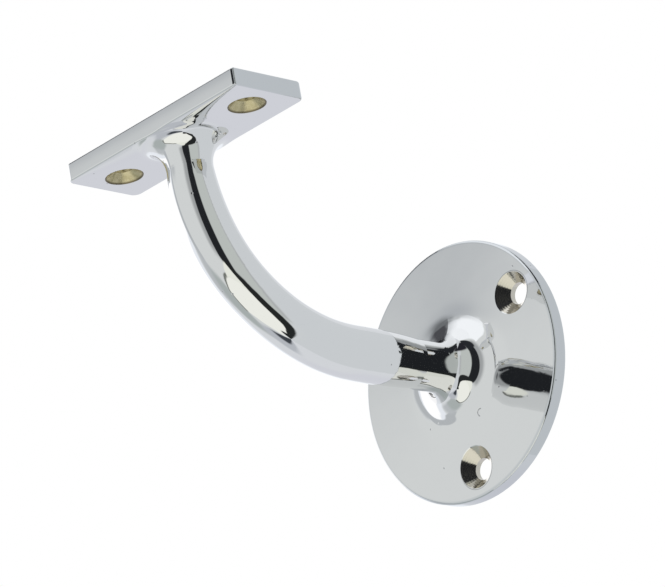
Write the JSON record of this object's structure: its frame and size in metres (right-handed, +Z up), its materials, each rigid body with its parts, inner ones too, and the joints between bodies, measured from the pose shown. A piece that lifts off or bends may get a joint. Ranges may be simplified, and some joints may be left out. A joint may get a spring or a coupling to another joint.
{
  "type": "handrail bracket",
  "caption": "Chrome-plated cast brass handrail bracket with a round wall rose, a curved arm and a flat rail plate.",
  "frame": {"origin": "centre of the rose's flat back face, which lies on the wall", "axes": "+Y into the wall, so the bracket reaches out along -Y; +Z up; +X along the rail"},
  "size_m": [0.064, 0.0939, 0.0839],
  "materials": {
    "chrome": "mirror polished"
  },
  "bodies": {
    "root": {"bracket": "chrome"}
  },
  "joints": []
}
